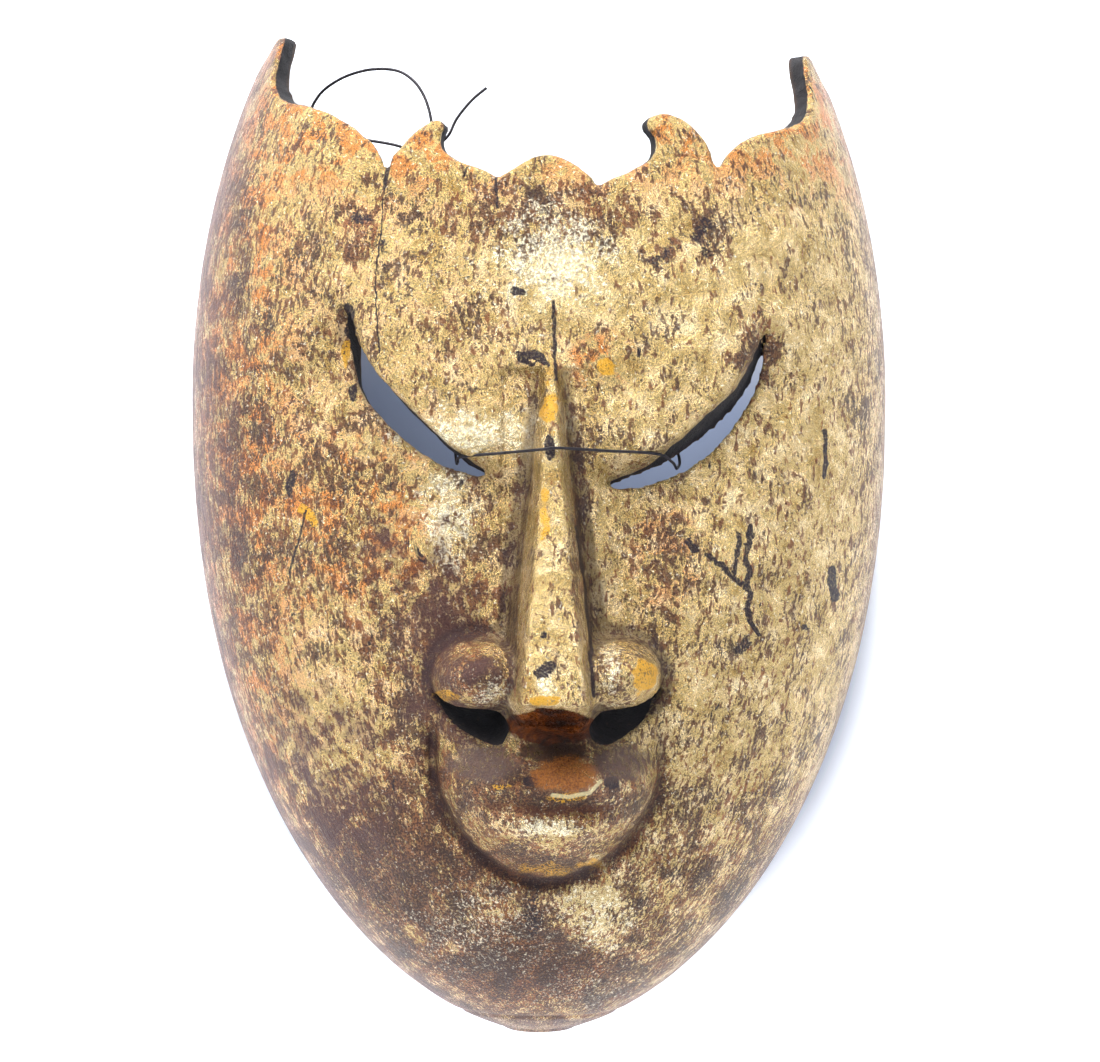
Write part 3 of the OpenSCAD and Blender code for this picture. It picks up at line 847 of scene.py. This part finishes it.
    # A painted highlight along the lower edge of the lip boss
    lip_boss_highlight = hairline([(0.5, -50.6), (4, -51.0), (7.6, -50.2), (9.6, -48)], 0.55)
    colour = n.mix(times(lip_boss_highlight, 0.6), colour, rgb(250, 236, 180))

    # Cut edges are near black, and the hollow is bare dark wood
    bare = n.ramp(streak, [(0.3, rgb(22, 19, 22)), (0.6, rgb(36, 31, 33)), (0.8, rgb(70, 54, 42))])
    along = n.vec("MULTIPLY", mm, (1.2, 0.5, 0.12))
    wood = n.ramp(n.noise(along, 0.8, 4, 0.6, 0.8), [
        (0.3, rgb(52, 36, 26)), (0.55, rgb(84, 58, 38)), (0.75, rgb(110, 80, 54))])
    bare = n.mix(mask["inside"], bare, wood)
    face = n.step(n.math("MULTIPLY_ADD", n.math("SUBTRACT", dash, 0.5), 0.6, mask["gild"]),
                  0.35, 0.6)
    n.link(n.mix(face, bare, colour), bsdf.inputs["Base Color"])

    # Leaf is metal; ground and patina aren't
    clean = n.math("SUBTRACT", 1.0, most(browned, dots, dark, yellow, crease_shade, purple))
    n.link(times(n.math("MULTIPLY_ADD", clean, 0.6, 0.35), face), bsdf.inputs["Metallic"])
    n.link(n.mix(face, 0.8, n.step(clean, 0.0, 1.0, 0.42, 0.27), kind="FLOAT"),
           bsdf.inputs["Roughness"])
    height = n.math("MULTIPLY_ADD", streak, 0.4, times(dash, 0.3))
    height = n.math("MULTIPLY_ADD", speck, 0.5, height)
    bump = n.add("ShaderNodeBump")
    bump.inputs["Strength"].default_value = 0.85
    bump.inputs["Distance"].default_value = 1.0 * MM
    n.link(height, bump.inputs["Height"])
    n.link(bump.outputs[0], bsdf.inputs["Normal"])
    return m


mesh.materials.append(shell_material())
shell = bpy.data.objects.new("mask_shell_carved", mesh)
scene.collection.objects.link(shell)
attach(shell, "root")
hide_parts("mask_shell")


# ------------------------------------------------------------------ stage
FLOOR_DROP = 0.3        # the mask hangs this far above the floor
WALL_GAP = 0.002


def plain(name, colour, rough):
    m, n, bsdf = new_material(name)
    bsdf.inputs["Base Color"].default_value = colour
    bsdf.inputs["Roughness"].default_value = rough
    return m, n, bsdf


def panel(name, corners, material):
    me = bpy.data.meshes.new(name)
    me.from_pydata(corners, [], [(0, 1, 2, 3)])
    me.materials.append(material)
    o = bpy.data.objects.new(name, me)
    scene.collection.objects.link(o)


floor_z = cad_lo.z - FLOOR_DROP
panel("floor", [(-1.5, -2, floor_z), (1.5, -2, floor_z), (1.5, 1.5, floor_z),
                (-1.5, 1.5, floor_z)], plain("pale_floor", rgb(236, 237, 240), 0.9)[0])

# Wall just behind the rim, seen from the front only. Away from the mask it glows with painted
# light; behind the mask its colour is a painted cool shade, and between them a painted shadow rings
# the mask
wall_mat, wn, wall_bsdf = plain("white_wall", rgb(248, 249, 252), 0.95)
place = wn.vec("MULTIPLY", wn.add("ShaderNodeTexCoord").outputs["Object"], (12.0, 0, 10.2))
reach = wn.vec("LENGTH", wn.vec("SUBTRACT", place, (0.02, 0, -0.12)), out=1)
wall_bsdf.inputs["Emission Color"].default_value = (0.93, 0.96, 1.0, 1)
wn.link(wn.step(reach, 0.78, 0.92, 0.0, 0.9), wall_bsdf.inputs["Emission Strength"])
wn.link(wn.mix(wn.step(reach, 0.6, 0.9), rgb(186, 204, 240), rgb(248, 250, 255)),
        wall_bsdf.inputs["Base Color"])
out = [q for q in wall_mat.node_tree.nodes if q.type == "OUTPUT_MATERIAL"][0]
clear = wn.add("ShaderNodeBsdfTransparent")
both = wn.add("ShaderNodeMixShader")
geo = wn.add("ShaderNodeNewGeometry")
wn.link(geo.outputs["Backfacing"], both.inputs[0])
wn.link(wall_bsdf.outputs[0], both.inputs[1])
wn.link(clear.outputs[0], both.inputs[2])
wn.link(both.outputs[0], out.inputs[0])
wall_y = cad_hi.y + WALL_GAP
panel("wall", [(-0.8, wall_y, floor_z), (0.8, wall_y, floor_z), (0.8, wall_y, 0.9),
               (-0.8, wall_y, 0.9)], wall_mat)

# ------------------------------------------------------------------ light
# A dim cool sky that brightens upward, and three soft lamps from above and in front
world = bpy.data.worlds.new("studio")
world.use_nodes = True
wd = Nodes(world.node_tree)
sky = wd.add("ShaderNodeSeparateXYZ")
wd.link(wd.add("ShaderNodeTexCoord").outputs["Generated"], sky.inputs[0])
paint = world.node_tree.nodes["Background"]
paint.inputs[0].default_value = (0.80, 0.88, 1.0, 1)
wd.link(wd.step(sky.outputs["Z"], -0.3, 0.9, 0.05, 0.7), paint.inputs[1])
scene.world = world


def area(name, loc, size, power):
    """A rectangular lamp aimed at the middle of the mask."""
    d = bpy.data.lights.new(name, "AREA")
    d.shape, d.size, d.size_y = "RECTANGLE", size[0], size[1]
    d.energy = power
    o = bpy.data.objects.new(name, d)
    o.location = loc
    o.rotation_mode = "QUATERNION"
    o.rotation_quaternion = (Vector((0, -0.03, 0)) - Vector(loc)).to_track_quat("-Z", "Y")
    scene.collection.objects.link(o)


area("key", (-0.45, -0.66, 0.85), (0.6, 0.5), 12.4)
area("fill", (0.75, -0.8, 0.15), (0.8, 0.8), 1.2)
area("top", (0.0, -0.25, 0.95), (0.6, 0.4), 6)

scene.view_settings.view_transform = "Standard"
